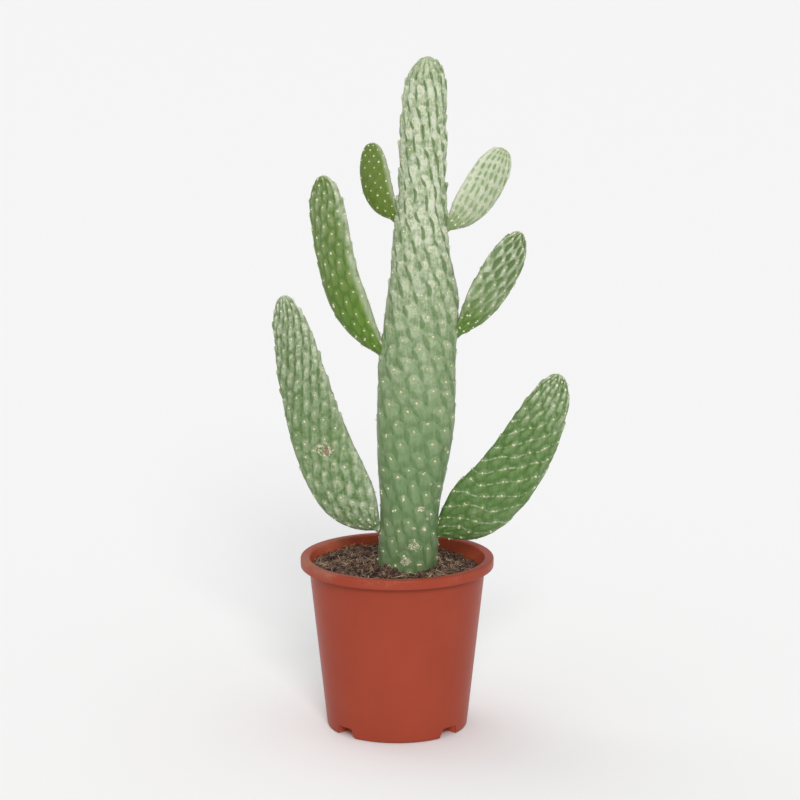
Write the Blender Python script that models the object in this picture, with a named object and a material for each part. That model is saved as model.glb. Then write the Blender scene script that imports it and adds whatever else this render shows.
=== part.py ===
"""A live paddle cactus in a round nursery pot.

The pot stands on Z = 0 and its axis is the Z axis. X runs to the right of the plant's broad side
and Y runs away from it. One object is made for each separate piece: the pot, the soil, the trunk,
six side pads and the roots. Pieces that touch keep a gap of 0.3 mm.
"""

import math
from collections import namedtuple

import bmesh
import bpy
import numpy as np
from mathutils import Vector

MM = 0.001
GAP = 0.3 * MM

# Pot: a 17 cm nursery pot in thin moulded plastic.
POT_HEIGHT = 152.4 * MM
RIM_RADIUS = 85.0 * MM
FOOT_RADIUS = 62.0 * MM
WALL = 1.5 * MM
LIP_HEIGHT = 8.4 * MM
LIP_OVERHANG = 7.4 * MM
LIP_ROUND = 1.6 * MM
FOOT_ROUND = 1.2 * MM
POT_STEPS = 56

# Drain pockets: four notches in the foot, each with a raised roof inside and a slot in that roof.
POCKET_BEARINGS = (47.0, 133.0, 227.0, 313.0)
POCKET_HEIGHT = 8.6 * MM
POCKET_INNER_RADIUS = 50.0 * MM
POCKET_HALF_BASE = 11.4 * MM
POCKET_HALF_TOP = 8.2 * MM
DRAIN_SLOT = (6.0 * MM, 9.0 * MM)

# Soil
SOIL_LEVEL = 139.0 * MM
SOIL_SWELL = 1.3 * MM
SOIL_FALL = 2.2 * MM
SOIL_STEPS = 40

# Trunk: height, centre in x, half width in x and half depth in y, all in millimetres.
TRUNK_STATIONS = (
    (104, 7.0, 15.0, 14.0),
    (120, 7.5, 22.5, 20.5),
    (140, 8.5, 25.6, 23.5),
    (202, 11.5, 26.6, 24.0),
    (238, 13.8, 31.6, 24.5),
    (268, 16.2, 34.0, 24.5),
    (330, 17.6, 33.8, 23.5),
    (385, 22.2, 30.9, 22.5),
    (410, 21.4, 27.4, 21.5),
    (450, 20.6, 23.8, 20.0),
    (490, 22.0, 21.4, 18.5),
    (530, 22.6, 21.0, 17.5),
    (590, 26.2, 19.6, 16.5),
)
TRUNK_DOME = 58 * MM
TRUNK_DOME_POWER = 4.3
TRUNK_FOOT = 22 * MM
TRUNK_SIDES = 28
TRUNK_RINGS = 30

# Side pads. root is the start of the centre line in x and z, lean is how far the tip stands
# forward (minus) or back (plus) in y, heading is the direction of growth at the root in degrees
# up from +X, bend is what the heading gains by the tip, and turn is how far the broad face turns
# about its own centre line, plus to the right. Lengths are in millimetres.
Pad = namedtuple("Pad", "root lean heading bend bend_power length width neck widest shoulder "
                        "blunt rise thick turn")
PADS = {
    "pad_lower_left": Pad((-17.5, 178.6), -6, 143.0, -40.8, 3.46, 226.0, 55.4, 9.0, 0.28, 0.69,
                          7.0, 2.8, 19.0, -14),
    "pad_middle_left": Pad((-14.3, 336.8), -4, 135.5, -39.1, 2.38, 163.0, 40.0, 12.0, 0.41, 1.0,
                           6.0, 2.4, 16.0, -34),
    "pad_upper_left": Pad((-3.0, 454.2), -2, 139.2, -46.6, 2.41, 67.0, 29.3, 11.0, 0.47, 0.9,
                          3.3, 2.6, 11.0, -28),
    "pad_upper_right": Pad((43.7, 444.4), -5, 34.7, 29.9, 2.2, 83.6, 38.0, 9.5, 0.51, 0.92,
                           3.7, 2.4, 12.0, 26),
    "pad_middle_right": Pad((52.9, 352.6), -4, 45.2, 19.7, 2.36, 102.9, 41.5, 9.5, 0.54, 0.9,
                            2.8, 2.1, 14.0, 32),
    "pad_lower_right": Pad((36.7, 175.4), -3, 23.7, 46.2, 1.78, 179.8, 58.6, 14.9, 0.28, 0.78,
                           5.1, 2.2, 17.0, 6),
}
PAD_INSET = 16 * MM
PAD_SIDES = 18
PAD_RINGS = 20

# Roots: a crown under the trunk and a ring of main roots that spread and sink.
CROWN_LEVEL = 94 * MM
CROWN_RADIUS = 13 * MM
ROOT_COUNT = 6
ROOT_REACH = 42 * MM
ROOT_DROP = 58 * MM
ROOT_RADIUS = 3.0 * MM
ROOT_TIP_RADIUS = 0.9 * MM
ROOT_SIDES = 6
ROOT_POINTS = 7


def clear_scene():
    for thing in list(bpy.data.objects):
        bpy.data.objects.remove(thing, do_unlink=True)


def material(name, colour, roughness):
    made = bpy.data.materials.new(name)
    made.use_nodes = True
    shader = made.node_tree.nodes["Principled BSDF"]
    shader.inputs["Base Color"].default_value = (*colour, 1.0)
    shader.inputs["Roughness"].default_value = roughness
    shader.inputs["Metallic"].default_value = 0.0
    return made


def add_object(name, mesh, finish=None, crease=40.0):
    """Put a mesh in the scene, shaded smooth except over its sharp edges."""
    thing = bpy.data.objects.new(name, mesh)
    bpy.context.collection.objects.link(thing)
    mesh.shade_smooth()
    mesh.set_sharp_from_angle(angle=math.radians(crease))
    if finish is not None:
        mesh.materials.append(finish)
    return thing


def as_tool(thing):
    """Keep an object as a cutter or a guide: it is drawn as wire and is not a piece."""
    thing.hide_render = True
    thing.display_type = "WIRE"
    return thing


def cut(thing, tool, operation="DIFFERENCE"):
    modifier = thing.modifiers.new(f"{operation.lower()} {tool.name}", "BOOLEAN")
    modifier.operation = operation
    modifier.object = tool
    modifier.solver = "EXACT"


def turned_mesh(name, profile, steps):
    """Turn a closed profile of (radius, height) points about Z. It starts and ends on the axis."""
    shape = bmesh.new()
    corners = [shape.verts.new((radius, 0.0, height)) for radius, height in profile]
    edges = [shape.edges.new(pair) for pair in zip(corners, corners[1:])]
    bmesh.ops.spin(shape, geom=corners + edges, cent=(0, 0, 0), axis=(0, 0, 1),
                   angle=math.tau, steps=steps, use_merge=True)
    return finish_mesh(name, shape)


def finish_mesh(name, shape):
    bmesh.ops.remove_doubles(shape, verts=shape.verts, dist=0.005 * MM)
    bmesh.ops.recalc_face_normals(shape, faces=shape.faces)
    mesh = bpy.data.meshes.new(name)
    shape.to_mesh(mesh)
    shape.free()
    return mesh


def lofted_mesh(name, rings):
    """Join rings of points into a closed tube and close both ends with a fan."""
    shape = bmesh.new()
    loops = [[shape.verts.new(point) for point in ring] for ring in rings]
    for lower, upper in zip(loops, loops[1:]):
        for side in range(len(lower)):
            after = (side + 1) % len(lower)
            shape.faces.new((lower[side], lower[after], upper[after], upper[side]))
    for loop in (loops[0], loops[-1]):
        centre = sum((corner.co for corner in loop), Vector()) / len(loop)
        pole = shape.verts.new(centre)
        for side, corner in enumerate(loop):
            shape.faces.new((corner, loop[(side + 1) % len(loop)], pole))
    return finish_mesh(name, shape)


def quarter_round(centre_radius, centre_height, radius, start, end, steps=4):
    """Points of an arc in the turned profile, from one angle in degrees to another."""
    angles = np.radians(np.linspace(start, end, steps + 1))
    return [(centre_radius + radius * math.cos(a), centre_height + radius * math.sin(a))
            for a in angles]


def wall_radius(height):
    """Outer radius of the tapered wall at a height."""
    lip_foot = POT_HEIGHT - LIP_HEIGHT
    lip_wall = RIM_RADIUS - LIP_OVERHANG
    return FOOT_RADIUS + (lip_wall - FOOT_RADIUS) * height / lip_foot


def pot_profile():
    """The pot's section: foot, tapered wall, hollow lip turned down outside, and inside."""
    lip_foot = POT_HEIGHT - LIP_HEIGHT
    lip_roof = POT_HEIGHT - WALL
    inner_lip = wall_radius(lip_roof) - WALL
    section = [(0.0, 0.0)]
    section += quarter_round(FOOT_RADIUS - FOOT_ROUND, FOOT_ROUND, FOOT_ROUND, -90, 0, 3)
    section += [(wall_radius(lip_foot), lip_foot), (wall_radius(lip_roof), lip_roof)]
    section += [(RIM_RADIUS - WALL, lip_roof), (RIM_RADIUS - WALL * 0.9, lip_foot)]
    section += [(RIM_RADIUS - 0.3 * WALL, lip_foot)]
    section += quarter_round(RIM_RADIUS - LIP_ROUND, POT_HEIGHT - LIP_ROUND, LIP_ROUND, 0, 90)
    section += quarter_round(inner_lip + LIP_ROUND, POT_HEIGHT - LIP_ROUND, LIP_ROUND, 90, 180)
    section += [(wall_radius(WALL) - WALL, WALL), (0.0, WALL)]
    return section


def pocket_blocks(name, start, stop, half_base, half_top, low, high):
    """Four tapered blocks that point outwards from the axis, one on each pocket's bearing."""
    shape = bmesh.new()
    for bearing in POCKET_BEARINGS:
        angle = math.radians(bearing - 90.0)
        outward = Vector((math.cos(angle), math.sin(angle), 0.0))
        across = Vector((-outward.y, outward.x, 0.0))
        slope = (half_base - half_top) / POCKET_HEIGHT
        ends = []
        for reach in (start, stop):
            section = [(-half_base + slope * low, low), (half_base - slope * low, low),
                       (half_base - slope * high, high), (-half_base + slope * high, high)]
            ends.append([shape.verts.new(outward * reach + across * side + Vector((0, 0, height)))
                         for side, height in section])
        near, far = ends
        shape.faces.new(near)
        shape.faces.new(far[::-1])
        for side in range(4):
            after = (side + 1) % 4
            shape.faces.new((near[after], near[side], far[side], far[after]))
    return as_tool(add_object(name, finish_mesh(name, shape)))


def liner_blocks(name, spare):
    """The solid round each pocket, grown by spare, that becomes its roof and its walls."""
    grown = WALL + spare
    blocks = pocket_blocks(name, POCKET_INNER_RADIUS - grown, FOOT_RADIUS + 4 * WALL,
                           POCKET_HALF_BASE + grown, POCKET_HALF_TOP + grown,
                           0.0, POCKET_HEIGHT + grown)
    return blocks


def make_pot(finish):
    pot = add_object("pot", turned_mesh("pot", pot_profile(), POT_STEPS), finish)
    within = wall_radius(0.0) - 0.4 * WALL
    core_top = POCKET_HEIGHT + 4 * WALL
    core_wall = within + wall_radius(core_top) - wall_radius(0.0)
    core = as_tool(add_object("foot_core", turned_mesh(
        "foot_core", [(0.0, 0.2 * WALL), (within, 0.2 * WALL), (core_wall, core_top),
                      (0.0, core_top)], POT_STEPS)))
    liners = liner_blocks("pocket_liners", 0.0)
    cut(liners, core, "INTERSECT")
    cut(pot, liners, "UNION")
    cut(pot, pocket_blocks("pocket_rooms", POCKET_INNER_RADIUS, FOOT_RADIUS + 6 * WALL,
                           POCKET_HALF_BASE, POCKET_HALF_TOP, -2 * WALL, POCKET_HEIGHT))
    slot_length, slot_width = DRAIN_SLOT
    slot_start = POCKET_INNER_RADIUS + 2 * WALL
    cut(pot, pocket_blocks("drain_slots", slot_start, slot_start + slot_length,
                           slot_width / 2, slot_width / 2,
                           POCKET_HEIGHT - WALL, POCKET_HEIGHT + 3 * WALL))
    return pot


def soil_height(x, y):
    """The soil's surface: gently uneven, and lower towards the back right."""
    swell = math.sin(62.0 * x + 1.0) * math.cos(55.0 * y - 0.6)
    fall = max(0.0, (x + y) / (2.0 * RIM_RADIUS))
    return SOIL_LEVEL + SOIL_SWELL * swell - SOIL_FALL * fall


def make_soil(finish, trunk_room, root_rooms):
    floor_level = WALL + GAP
    levels = (floor_level, 40 * MM, 80 * MM, 110 * MM)
    turns = [math.tau * step / SOIL_STEPS for step in range(SOIL_STEPS)]
    rings = []
    for share in (0.35, 0.7):
        radius = share * (wall_radius(floor_level) - WALL - GAP)
        rings.append([Vector((radius * math.cos(a), radius * math.sin(a), floor_level))
                      for a in turns])
    for level in levels:
        radius = wall_radius(level) - WALL - 1.5 * GAP
        rings.append([Vector((radius * math.cos(a), radius * math.sin(a), level)) for a in turns])
    edge_radius = wall_radius(SOIL_LEVEL - 4 * MM) - WALL - 1.5 * GAP
    for share in (1.0, 0.88, 0.72, 0.55, 0.38, 0.2):
        ring = []
        for a in turns:
            x = share * edge_radius * math.cos(a)
            y = share * edge_radius * math.sin(a)
            ring.append(Vector((x, y, soil_height(x, y))))
        rings.append(ring)
    soil = add_object("soil", lofted_mesh("soil", rings), finish)
    cut(soil, liner_blocks("liner_rooms", GAP))
    cut(soil, trunk_room)
    for room in root_rooms:
        cut(soil, room)
    return soil


def smooth_between(stations, value):
    """Read a row of a station table at a height, on a smooth curve through its points."""
    table = np.array(stations, dtype=float)
    heights = table[:, 0]
    slopes = np.gradient(table, heights, axis=0)
    last = len(heights) - 2
    index = min(max(int(np.searchsorted(heights, value)) - 1, 0), last)
    span = heights[index + 1] - heights[index]
    t = (value - heights[index]) / span
    rise = table[index] * (2 * t ** 3 - 3 * t ** 2 + 1)
    rise = rise + table[index + 1] * (-2 * t ** 3 + 3 * t ** 2)
    rise = rise + slopes[index] * span * (t ** 3 - 2 * t ** 2 + t)
    return rise + slopes[index + 1] * span * (t ** 3 - t ** 2)


def trunk_mesh(name, spare):
    """The trunk as a stack of oval rings with a rounded foot and a rounded top."""
    bottom = TRUNK_STATIONS[0][0] * MM
    top = TRUNK_STATIONS[-1][0] * MM
    rings = []
    for step in range(TRUNK_RINGS + 1):
        share = step / TRUNK_RINGS
        spread = share - 0.13 * math.sin(math.tau * share)
        height = bottom + (top - bottom) * (0.001 + 0.997 * spread)
        row = smooth_between(TRUNK_STATIONS, height / MM)
        centre, half_width, half_depth = row[1:] * MM
        into_dome = max(0.0, (height - top + TRUNK_DOME) / TRUNK_DOME)
        into_foot = max(0.0, (bottom + TRUNK_FOOT - height) / TRUNK_FOOT)
        close = math.sqrt(1.0 - into_dome ** TRUNK_DOME_POWER)
        close *= math.sqrt(1.0 - into_foot ** 3)
        ring = []
        for side in range(TRUNK_SIDES):
            angle = math.tau * side / TRUNK_SIDES
            ring.append(Vector((centre + (half_width * close + spare) * math.cos(angle),
                                (half_depth * close + spare) * math.sin(angle), height)))
        rings.append(ring)
    rings[0] = [point - Vector((0, 0, spare)) for point in rings[0]]
    rings[-1] = [point + Vector((0, 0, spare)) for point in rings[-1]]
    return lofted_mesh(name, rings)


def pad_line(pad):
    """Centre line of a pad in its own plane: points, growth directions and share of the length."""
    inside = PAD_INSET / (pad.length * MM)
    shares = np.linspace(-inside, 1.0, 8 * PAD_RINGS + 1)
    grown = np.clip(shares, 0.0, 1.0)
    headings = np.radians(pad.heading + pad.bend * (1.0 - (1.0 - grown) ** pad.bend_power))
    steps = np.diff(shares) * pad.length * MM
    across = np.concatenate(([0.0], np.cumsum(np.cos(headings[:-1]) * steps)))
    up = np.concatenate(([0.0], np.cumsum(np.sin(headings[:-1]) * steps)))
    start = int(np.searchsorted(shares, 0.0))
    x = across - across[start] + pad.root[0] * MM
    z = up - up[start] + pad.root[1] * MM
    y = pad.lean * MM * np.clip(shares, 0.0, 1.0)
    return np.stack((x, y, z), axis=1), headings, shares


def pad_width(pad, share):
    """Full width of a pad: a neck that swells to the widest part, then a blunt round tip."""
    if share < pad.widest:
        reach = max(share, 0.0) / pad.widest
        return pad.neck + (pad.width - pad.neck) * (1.0 - (1.0 - reach) ** pad.rise)
    past = (share - pad.widest) / (1.0 - pad.widest)
    shoulder = 1.0 - (1.0 - pad.shoulder) * past ** 2 * (3.0 - 2.0 * past)
    return pad.width * shoulder * math.sqrt(max(0.0, 1.0 - past ** pad.blunt))


def pad_mesh(name, pad):
    """A pad as oval rings along its centre line, flattened and turned about that line."""
    points, headings, shares = pad_line(pad)
    turn = math.radians(pad.turn)
    rings = []
    for step in range(PAD_RINGS + 1):
        share = step / PAD_RINGS
        eased = 1.0 - (1.0 - share) ** 1.6
        place = shares[0] + (0.998 - shares[0]) * eased
        point = Vector([np.interp(place, shares, points[:, axis]) for axis in range(3)])
        heading = float(np.interp(place, shares, headings))
        edgewise = Vector((math.sin(heading), 0.0, -math.cos(heading)))
        facing = Vector((0.0, -1.0, 0.0))
        broad = edgewise * math.cos(turn) - facing * math.sin(turn)
        flat = edgewise * math.sin(turn) + facing * math.cos(turn)
        half_width = pad_width(pad, place) * MM / 2
        plump = (half_width / (pad.width * MM / 2)) ** 0.6
        half_thick = min(pad.thick * MM / 2 * plump, half_width * 0.92)
        ring = []
        for side in range(PAD_SIDES):
            angle = math.tau * side / PAD_SIDES
            ring.append(point + broad * half_width * math.cos(angle)
                        + flat * half_thick * math.sin(angle))
        rings.append(ring)
    return lofted_mesh(name, rings)


def root_rings(number, spare):
    """One main root: it leaves the crown level, spreads and sinks, and thins to its tip."""
    bearing = math.tau * (number + 0.2) / ROOT_COUNT
    sway = 0.35 if number % 2 else -0.35
    reach = ROOT_REACH * (1.0 if number % 2 else 0.8)
    crown_x = TRUNK_STATIONS[0][1] * MM
    line = []
    for step in range(ROOT_POINTS):
        share = step / (ROOT_POINTS - 1)
        angle = bearing + sway * share
        away = 5.0 * MM + reach * math.sin(share * math.pi / 2)
        line.append(Vector((crown_x * (1.0 - share) + away * math.cos(angle),
                            away * math.sin(angle),
                            CROWN_LEVEL - 4.0 * MM - ROOT_DROP * share ** 1.7)))
    rings = []
    for step, point in enumerate(line):
        share = step / (ROOT_POINTS - 1)
        along = (line[min(step + 1, ROOT_POINTS - 1)] - line[max(step - 1, 0)]).normalized()
        side_way = along.cross(Vector((0, 0, 1))).normalized()
        up_way = side_way.cross(along)
        radius = ROOT_RADIUS + (ROOT_TIP_RADIUS - ROOT_RADIUS) * share + spare
        rings.append([point + (side_way * math.cos(a) + up_way * math.sin(a)) * radius
                      for a in np.linspace(0.0, math.tau, ROOT_SIDES, endpoint=False)])
    return rings


def crown_mesh(name, spare):
    """The root crown: a flattened knob that starts just under the trunk's foot."""
    shape = bmesh.new()
    bmesh.ops.create_uvsphere(shape, u_segments=14, v_segments=8, radius=CROWN_RADIUS + spare)
    bmesh.ops.scale(shape, verts=shape.verts, vec=(1.0, 1.0, 0.8))
    bmesh.ops.translate(shape, verts=shape.verts,
                        vec=(TRUNK_STATIONS[0][1] * MM, 0.0, CROWN_LEVEL))
    return finish_mesh(name, shape)


def root_tubes(name, spare):
    tubes = bmesh.new()
    for number in range(ROOT_COUNT):
        part = lofted_mesh(f"{name}_{number}", root_rings(number, spare))
        tubes.from_mesh(part)
        bpy.data.meshes.remove(part)
    return as_tool(add_object(name, finish_mesh(name, tubes)))


def make_roots(finish, trunk_room):
    roots = add_object("roots", crown_mesh("roots", 0.0), finish)
    cut(roots, root_tubes("main_roots", 0.0), "UNION")
    cut(roots, trunk_room)
    return roots


def build():
    clear_scene()
    terracotta = material("terracotta plastic", (0.42, 0.085, 0.042), 0.38)
    peat = material("potting soil", (0.032, 0.019, 0.014), 0.95)
    green = material("cactus skin", (0.15, 0.24, 0.09), 0.55)
    pale_root = material("root bark", (0.30, 0.20, 0.11), 0.85)

    trunk_room = as_tool(add_object("trunk_room", trunk_mesh("trunk_room", GAP)))
    crown_room = as_tool(add_object("crown_room", crown_mesh("crown_room", GAP)))
    tube_rooms = root_tubes("root_rooms", GAP)

    make_pot(terracotta)
    make_soil(peat, trunk_room, (crown_room, tube_rooms))
    add_object("trunk", trunk_mesh("trunk", 0.0), green)
    make_roots(pale_root, trunk_room)
    for name, pad in PADS.items():
        cut(add_object(name, pad_mesh(name, pad), green), trunk_room)


build()
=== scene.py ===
# %% [markdown]
# # A paddle cactus in a nursery pot
# The plant is one upright trunk with six side pads, rooted in a thin plastic pot of peat. The
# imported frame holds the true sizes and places. This lesson makes each visible piece again with a
# fine surface: skin with tubercles, woolly areoles, loose soil and a moulded pot.

# %% Load the fixed frame
import math
import random
from collections import namedtuple

import bpy
import numpy as np
from mathutils import Matrix, Vector, noise
from mathutils.kdtree import KDTree


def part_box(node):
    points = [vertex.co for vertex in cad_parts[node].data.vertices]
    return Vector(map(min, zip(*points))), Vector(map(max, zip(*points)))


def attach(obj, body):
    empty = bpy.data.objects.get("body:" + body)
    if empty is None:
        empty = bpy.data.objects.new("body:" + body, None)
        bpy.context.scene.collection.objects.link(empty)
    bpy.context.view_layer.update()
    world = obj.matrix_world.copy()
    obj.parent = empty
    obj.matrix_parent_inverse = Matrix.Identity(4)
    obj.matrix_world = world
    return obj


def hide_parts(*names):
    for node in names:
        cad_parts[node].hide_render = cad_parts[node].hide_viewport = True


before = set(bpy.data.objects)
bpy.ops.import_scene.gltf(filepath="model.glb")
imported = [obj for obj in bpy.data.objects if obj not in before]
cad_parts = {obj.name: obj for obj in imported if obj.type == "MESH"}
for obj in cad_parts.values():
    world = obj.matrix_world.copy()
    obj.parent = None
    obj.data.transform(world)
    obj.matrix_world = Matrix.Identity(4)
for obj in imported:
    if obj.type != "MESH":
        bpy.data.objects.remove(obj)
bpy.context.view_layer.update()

MM = 0.001
pot_low, pot_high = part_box("pot")
soil_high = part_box("soil")[1]
print("nodes:", sorted(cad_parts))

# %% [markdown]
# ## Camera
# The plant is seen from in front and a little above, from far enough away that upright lines stay
# upright. A long lens at 2.4 m does that. The camera is placed from the pot's axis and tipped down.

# %% Camera
CAMERA_DISTANCE = 2.4
CAMERA_HEIGHT = 0.787
CAMERA_SIDE = 0.0025
CAMERA_TIP = 11.65
CAMERA_LENS = 126.7

camera_data = bpy.data.cameras.new("camera")
camera_data.lens = CAMERA_LENS
camera_data.sensor_width = 36.0
camera = bpy.data.objects.new("camera", camera_data)
camera.location = (CAMERA_SIDE, -CAMERA_DISTANCE, CAMERA_HEIGHT)
camera.rotation_euler = (math.radians(90.0 - CAMERA_TIP), 0.0, 0.0)
bpy.context.scene.collection.objects.link(camera)
bpy.context.scene.camera = camera
print("camera looks down by", CAMERA_TIP, "degrees")

# %% [markdown]
# ## Working by hand from a script
# An operator acts on everything that is selected, so each step starts with nothing selected but
# the piece in hand. These helpers do what a mouse would: pick one object, enter edit mode, and
# select faces or edges by where they are.

# %% Helpers for selecting and editing
def hold(thing):
    """Select one object and nothing else, and make it the active one."""
    if bpy.context.object and bpy.context.object.mode != "OBJECT":
        bpy.ops.object.mode_set(mode="OBJECT")
    bpy.ops.object.select_all(action="DESELECT")
    thing.select_set(True)
    bpy.context.view_layer.objects.active = thing


def edit(kind="FACE", action="SELECT"):
    bpy.ops.object.mode_set(mode="EDIT")
    bpy.ops.mesh.select_mode(type=kind)
    bpy.ops.mesh.select_all(action=action)


def leave_edit():
    bpy.ops.object.mode_set(mode="OBJECT")


def new_piece(name, add, **settings):
    """Add a primitive with nothing else selected, and name it."""
    if bpy.context.object and bpy.context.object.mode != "OBJECT":
        leave_edit()
    bpy.ops.object.select_all(action="DESELECT")
    add(**settings)
    piece = bpy.context.object
    piece.name = name
    piece.data.name = name
    return piece


def apply_place(piece):
    hold(piece)
    bpy.ops.object.transform_apply(location=True, rotation=True, scale=True)


def apply_modifier(piece, kind, **settings):
    """Add one modifier with these settings and apply it at once."""
    hold(piece)
    modifier = piece.modifiers.new(kind.lower(), kind)
    for key, value in settings.items():
        setattr(modifier, key, value)
    bpy.ops.object.modifier_apply(modifier=modifier.name)


def pick(piece, items, test):
    """In object mode, select just the faces, edges or vertices that pass the test."""
    if bpy.context.object.mode != "OBJECT":
        leave_edit()
    for group in (piece.data.vertices, piece.data.edges, piece.data.polygons):
        group.foreach_set("select", [False] * len(group))
    chosen = [item.index for item in items if test(item)]
    for index in chosen:
        items[index].select = True


def outward_normals(piece):
    hold(piece)
    edit()
    bpy.ops.mesh.normals_make_consistent(inside=False)
    leave_edit()


def places(piece):
    flat = np.empty(len(piece.data.vertices) * 3)
    piece.data.vertices.foreach_get("co", flat)
    return flat.reshape(-1, 3)


def set_places(piece, points):
    piece.data.vertices.foreach_set("co", np.asarray(points, dtype=float).ravel())
    piece.data.update()


def join_all(parts):
    """Join pieces into the first of them."""
    bpy.ops.object.select_all(action="DESELECT")
    for part in parts:
        part.select_set(True)
    bpy.context.view_layer.objects.active = parts[0]
    bpy.ops.object.join()
    return parts[0]


def joined_copies(name, coords, faces):
    """Make one new piece from the points and faces of many copies."""
    mesh = bpy.data.meshes.new(name)
    mesh.from_pydata([tuple(point) for point in coords], [], faces)
    mesh.shade_smooth()
    piece = bpy.data.objects.new(name, mesh)
    bpy.context.scene.collection.objects.link(piece)
    return piece


print("helpers ready")

# %% [markdown]
# ## How the plant grows
# The trunk and the pads follow the frame's design. The trunk is a stack of oval sections. A pad
# starts at a narrow neck, widens, and closes in a blunt tip along a centre line that bends upwards
# as it grows. The same driving sizes are given again here; each tip is printed beside the frame's
# top.

# %% Sizes of the trunk and the pads
TRUNK_STATIONS = np.array((
    (104, 7.0, 15.0, 14.0),
    (120, 7.5, 22.5, 20.5),
    (140, 8.5, 25.6, 23.5),
    (202, 11.5, 26.6, 24.0),
    (238, 13.8, 31.6, 24.5),
    (268, 16.2, 34.0, 24.5),
    (330, 17.6, 33.8, 23.5),
    (385, 22.2, 30.9, 22.5),
    (410, 21.4, 27.4, 21.5),
    (450, 20.6, 23.8, 20.0),
    (490, 22.0, 21.4, 18.5),
    (530, 22.6, 21.0, 17.5),
    (590, 26.2, 19.6, 16.5),
))
TRUNK_DOME = 58.0
TRUNK_DOME_POWER = 4.3
Pad = namedtuple("Pad", "root lean heading bend bend_power length width neck widest shoulder "
                        "blunt rise thick turn")
PADS = {
    "pad_lower_left": Pad((-17.5, 178.6), -6, 143.0, -40.8, 3.46, 226.0, 55.4, 9.0, 0.28, 0.69,
                          7.0, 2.8, 19.0, -14),
    "pad_middle_left": Pad((-14.3, 336.8), -4, 135.5, -39.1, 2.38, 163.0, 40.0, 12.0, 0.41, 1.0,
                           6.0, 2.4, 16.0, -34),
    "pad_upper_left": Pad((-3.0, 454.2), -2, 139.2, -46.6, 2.41, 67.0, 29.3, 11.0, 0.47, 0.9,
                          3.3, 2.6, 11.0, -28),
    "pad_upper_right": Pad((43.7, 444.4), -5, 34.7, 29.9, 2.2, 83.6, 38.0, 9.5, 0.51, 0.92,
                           3.7, 2.4, 12.0, 26),
    "pad_middle_right": Pad((52.9, 352.6), -4, 45.2, 19.7, 2.36, 102.9, 41.5, 9.5, 0.54, 0.9,
                            2.8, 2.1, 14.0, 32),
    "pad_lower_right": Pad((36.7, 175.4), -3, 23.7, 46.2, 1.78, 179.8, 58.6, 14.9, 0.28, 0.78,
                           5.1, 2.2, 17.0, 6),
}
PAD_INSET = 9.0
LINE_POINTS = 600

# %% Centre lines and widths, read at many points
def smooth_rows(table, values):
    """Read a station table at many heights, on a smooth curve through its points."""
    heights = table[:, 0]
    slopes = np.gradient(table, heights, axis=0)
    index = np.clip(np.searchsorted(heights, values) - 1, 0, len(heights) - 2)
    span = (heights[index + 1] - heights[index])[:, None]
    t = ((values - heights[index]) / span[:, 0])[:, None]
    rows = table[index] * (2 * t ** 3 - 3 * t ** 2 + 1)
    rows = rows + table[index + 1] * (-2 * t ** 3 + 3 * t ** 2)
    rows = rows + slopes[index] * span * (t ** 3 - 2 * t ** 2 + t)
    return rows + slopes[index + 1] * span * (t ** 3 - t ** 2)


def eased_shares(start):
    """Shares of the length from start to the tip, closer together near the tip."""
    steps = np.linspace(0.0, 1.0, LINE_POINTS)
    return start + (1.0 - start) * np.sin(steps * math.pi / 2) ** 0.9


def trunk_growth():
    """Centre points, the two section axes and the half sizes of the trunk, in metres."""
    bottom, top = TRUNK_STATIONS[0, 0], TRUNK_STATIONS[-1, 0]
    shares = eased_shares(0.03)
    heights = bottom + (top - bottom) * shares
    rows = smooth_rows(TRUNK_STATIONS, heights)
    into = np.clip((heights - top + TRUNK_DOME) / TRUNK_DOME, 0.0, 1.0)
    close = np.sqrt(np.clip(1.0 - into ** TRUNK_DOME_POWER, 0.0, 1.0))
    zero = np.zeros(LINE_POINTS)
    centre = np.stack((rows[:, 1], zero, heights), axis=1) * MM
    broad = np.tile((1.0, 0.0, 0.0), (LINE_POINTS, 1))
    flat = np.tile((0.0, 1.0, 0.0), (LINE_POINTS, 1))
    return centre, broad, flat, rows[:, 2] * close * MM, rows[:, 3] * close * MM


def pad_growth(pad):
    """The same for a pad: its centre line bends in the X-Z plane and its face is turned."""
    shares = eased_shares(-PAD_INSET / pad.length)
    grown = np.clip(shares, 0.0, 1.0)
    heading = np.radians(pad.heading + pad.bend * (1.0 - (1.0 - grown) ** pad.bend_power))
    middle = (heading[1:] + heading[:-1]) / 2
    step = np.diff(shares) * pad.length
    x = np.concatenate(([0.0], np.cumsum(np.cos(middle) * step)))
    z = np.concatenate(([0.0], np.cumsum(np.sin(middle) * step)))
    x += pad.root[0] - np.interp(0.0, shares, x)
    z += pad.root[1] - np.interp(0.0, shares, z)
    centre = np.stack((x, pad.lean * grown, z), axis=1) * MM
    turn = math.radians(pad.turn)
    edgewise = np.stack((np.sin(heading), 0 * heading, -np.cos(heading)), axis=1)
    facing = np.tile((0.0, -1.0, 0.0), (LINE_POINTS, 1))
    broad = edgewise * math.cos(turn) - facing * math.sin(turn)
    flat = edgewise * math.sin(turn) + facing * math.cos(turn)
    reach = np.clip(grown / pad.widest, 0.0, 1.0)
    swelling = pad.neck + (pad.width - pad.neck) * (1.0 - (1.0 - reach) ** pad.rise)
    past = np.clip((grown - pad.widest) / (1.0 - pad.widest), 0.0, 1.0)
    shoulder = 1.0 - (1.0 - pad.shoulder) * past ** 2 * (3.0 - 2.0 * past)
    closing = pad.width * shoulder * np.sqrt(np.clip(1.0 - past ** pad.blunt, 0.0, 1.0))
    half = np.where(grown < pad.widest, swelling, closing) / 2
    thick = np.minimum(pad.thick / 2 * (half / (pad.width / 2)) ** 0.6, half * 0.92)
    return centre, broad, flat, half * MM, thick * MM


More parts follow.
